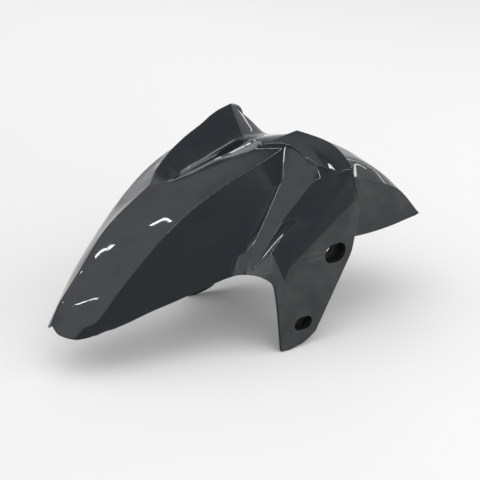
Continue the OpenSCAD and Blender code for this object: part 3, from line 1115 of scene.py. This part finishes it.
    def build(self) -> None:
        """Makes the finished moulding, on the part's body and in place of its CAD node."""
        points, faces, zones = self.thicken(self.shell.build())
        self.materials = [self.paint.build(), self.plain.build(), self.recess.build()]
        corners = [list(dict.fromkeys(face)) for face in faces.tolist()]
        piece = self.mesh("mudguard_shell", points, corners, zones)
        log.info("skin: %d points, %d faces", len(points), len(faces))

        cups, cuts = [], []
        for side in (-1, 1):
            for bolt, (x, z, size) in self.bolts().items():
                tag = f"{bolt.value}_{'near' if side < 0 else 'far'}"
                end = self.recess_depth + self.cup_wall
                around = (size[0] + 2 * self.cup_wall, size[1] + 2 * self.cup_wall)
                cup = self.drum(x, z, around, (self.cup_start, end + self.cup_start), side)
                recess = self.drum(x, z, size, (self.cut_start, self.recess_depth), side)
                through = (self.cut_start, end + self.cut_through)
                hole = self.drum(x, z, (self.bolt_d, self.bolt_d), through, side)
                cups.append(self.solid(f"cup_{tag}", cup, side, Zone.PLAIN))
                # The recess and hole cutters leave their faces, coloured as painted shade, on the
                # walls they cut
                cuts.append(self.solid(f"recess_{tag}", recess, side, Zone.RECESS))
                cuts.append(self.solid(f"hole_{tag}", hole, side, Zone.RECESS))
        self.combine(piece, cups, "UNION")
        self.combine(piece, cuts, "DIFFERENCE")
        piece.data.name = "mudguard_shell"
        piece.data.shade_smooth()
        piece.data.set_sharp_from_angle(angle=math.radians(self.sharp_angle))
        even = piece.modifiers.new("even_normals", "WEIGHTED_NORMAL")
        even.keep_sharp = True
        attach(piece, "root")
        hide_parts("mudguard")
        log.info("mudguard_shell: %d faces", len(piece.data.polygons))


# Studio


def direction(azimuth: float, elevation: float) -> Vector:
    """The way to a place round the object: azimuth 0 is -Y, 90 is +X, in degrees."""
    a, e = math.radians(azimuth), math.radians(elevation)
    return Vector((math.cos(e) * math.sin(a), -math.cos(e) * math.cos(a), math.sin(e)))


def stand(thing: Object, where: Vector, *axes: Vector) -> None:
    """Puts the thing there, with its own three axes along the given ones."""
    thing.matrix_world = Matrix.Translation(where) @ Matrix(axes).transposed().to_4x4()


@dataclass(frozen=True)
class TubeLamp:
    """A narrow lamp between two places, seen from a point of the object."""

    name: str
    start: Pair
    end: Pair
    seen_from: Place
    width: float = 0.014
    radiance: float = 60.0
    distance: float = 2.2

    def build(self) -> None:
        """Makes the lamp, facing the point that it is seen from."""
        origin = Vector(self.seen_from)
        a = origin + self.distance * direction(*self.start)
        b = origin + self.distance * direction(*self.end)
        length = (b - a).length
        data = bpy.data.lights.new(self.name, "AREA")
        data.shape, data.size, data.size_y = "RECTANGLE", length, self.width
        data.energy = self.radiance * math.pi * length * self.width
        lamp = new_object(self.name, data)
        along = (b - a).normalized()
        facing = ((a + b) / 2 - origin).normalized()
        facing = (facing - facing.dot(along) * along).normalized()
        stand(lamp, (a + b) / 2, along, facing.cross(along), facing)
        lamp.visible_camera = False


@dataclass
class Studio:
    """Pale floor, a soft dome of light and the camera of the reference view."""

    floor_half: float = 9.0
    floor_seen: float = 0.58
    floor_bounce: float = 0.30
    dome_low: float = 0.15
    dome_rise: float = 2.5
    dome_way: Pair = (-55.0, 38.0)
    dome_edge: Pair = (0.0, 0.95)
    camera_azimuth: float = 40.5
    camera_elevation: float = 21.5
    camera_roll: float = 4.2
    camera_distance: float = 1.6
    camera_target: Place = (0.003748, 0.0, 0.113)
    focal_pixels: float = 1297.6
    picture_pixels: float = 480.0
    sensor_mm: float = 36.0

    def seen(self, g: Graph) -> Socket:
        """Tells the rays that look from those that light.

        Args:
            g: the graph that the nodes join.

        Returns:
            1 for a camera, glossy or transmission ray, and 0 for the others.
        """
        kinds = ("Is Camera Ray", "Is Glossy Ray", "Is Transmission Ray")
        a, b, c = (g.node("ShaderNodeLightPath", output=kind) for kind in kinds)
        return a.maximum(b).maximum(c)

    def floor(self) -> None:
        """Makes the pale floor below the part, which throws back little light."""
        h = self.floor_half
        mesh = bpy.data.meshes.new("floor")
        mesh.from_pydata([(-h, -h, 0), (h, -h, 0), (h, h, 0), (-h, h, 0)], [], [(0, 1, 2, 3)])
        material, g = new_material("pale_floor")
        color = g.mix_color(self.seen(g), (self.floor_bounce,) * 3, (self.floor_seen,) * 3)
        surface = g.node("ShaderNodeBsdfDiffuse", {}, {"Color": color})
        g.node("ShaderNodeOutputMaterial", {}, {"Surface": surface})
        mesh.materials.append(material)
        floor = new_object("floor", mesh)

    def world(self) -> None:
        """A dome, brighter ahead of the part, that is white wherever it is seen.

        Its strength is low + rise * smoothstep(d . w), where d is the way looked
        and w the way to its brightest place.
        """
        world = bpy.data.worlds.new("studio")
        world.use_nodes = True
        g = Graph(world.node_tree)
        way = g.node("ShaderNodeTexCoord", output="Generated")
        facing = g.node(
            "ShaderNodeVectorMath", {"operation": "DOT_PRODUCT"},
            {0: way, 1: tuple(direction(*self.dome_way))}, output="Value")
        dome = self.dome_low + self.dome_rise * facing.step(*self.dome_edge)
        strength = dome.maximum(self.seen(g))
        light = g.node(
            "ShaderNodeBackground", {}, {"Color": (1, 1, 1, 1), "Strength": strength})
        g.node("ShaderNodeOutputWorld", {}, {"Surface": light})
        bpy.context.scene.world = world

    def camera(self) -> None:
        """Makes the camera of the reference view, with its slight roll."""
        a, r = math.radians(self.camera_azimuth), math.radians(self.camera_roll)
        back = direction(-self.camera_azimuth, self.camera_elevation)
        level = Vector((math.cos(a), -math.sin(a), 0.0))
        above = back.cross(level)
        right = math.cos(r) * level + math.sin(r) * above
        up = -math.sin(r) * level + math.cos(r) * above
        data = bpy.data.cameras.new("camera")
        data.sensor_fit = "HORIZONTAL"
        data.sensor_width = self.sensor_mm
        data.lens = self.sensor_mm * self.focal_pixels / self.picture_pixels
        camera = new_object("camera", data)
        where = Vector(self.camera_target) + self.camera_distance * back
        stand(camera, where, right, up, back)
        bpy.context.scene.camera = camera

    def lamps(self) -> list[TubeLamp]:
        """Sets out the narrow lamps and the soft windows by the way to their two ends.

        Returns:
            The lamps of the nose's dashes, those of the shoulder and arm, and the windows.
        """
        tail = (0.157, -0.049, 0.185)
        rows = (
            ("tube_low", (-67.5, 25.7), (-69.0, 26.1), (-0.237, -0.019, 0.091)),
            ("tube_middle_ahead", (-81.7, 34.3), (-73.8, 40.6), (-0.207, -0.011, 0.142), 0.018),
            ("tube_middle_behind", (-73.8, 40.6), (-70.2, 45.2), (-0.197, -0.016, 0.149), 0.018),
            ("tube_high", (-83.8, 58.7), (-93.2, 60.9), (-0.150, -0.038, 0.178), 0.018),
            ("tube_front_ahead", (-33, 4), (-12, 4), (0.03, -0.08, 0.24), 0.05, 4.5),
            ("tube_front_behind", (-12, 4), (48, 5), (0.05, -0.095, 0.23), 0.06, 32.0),
            ("tube_crease", (44, 27), (72, 28), (0.055, -0.096, 0.229), 0.12, 22.0),
            ("window_back_low", (152, 31), (152, 39), (0.012, 0.0, 0.238), 0.12, 7.0),
            ("window_back_patch", (146, 42), (145, 55), (-0.035, -0.004, 0.226), 0.70, 3.0),
            ("window_back_foot", (151, 8), (151, 18), (-0.02, 0.012, 0.23), 0.22, 2.0),
            ("window_side_near", (94, 6), (94, 19), tail, 0.04, 7.0),
            ("window_side_far", (106, 9), (104, 20), tail, 0.05, 5.0),
        )
        return [TubeLamp(*row) for row in rows]

    def build(self) -> None:
        """Sets up the floor, the world, the lamps and the camera."""
        self.camera()
        self.floor()
        self.world()
        for lamp in self.lamps():
            lamp.build()
            log.info("lamp: %s", lamp.name)


def main() -> None:
    """Builds the studio and the mudguard."""
    logging.basicConfig(level=logging.INFO, format="%(name)s: %(message)s")
    scene = bpy.context.scene
    scene.view_settings.view_transform = "Standard"
    Studio().build()
    Mudguard(Shell(), GlossPaint(), PlainMoulding(), RecessShade()).build()


if __name__ == "__main__":
    main()
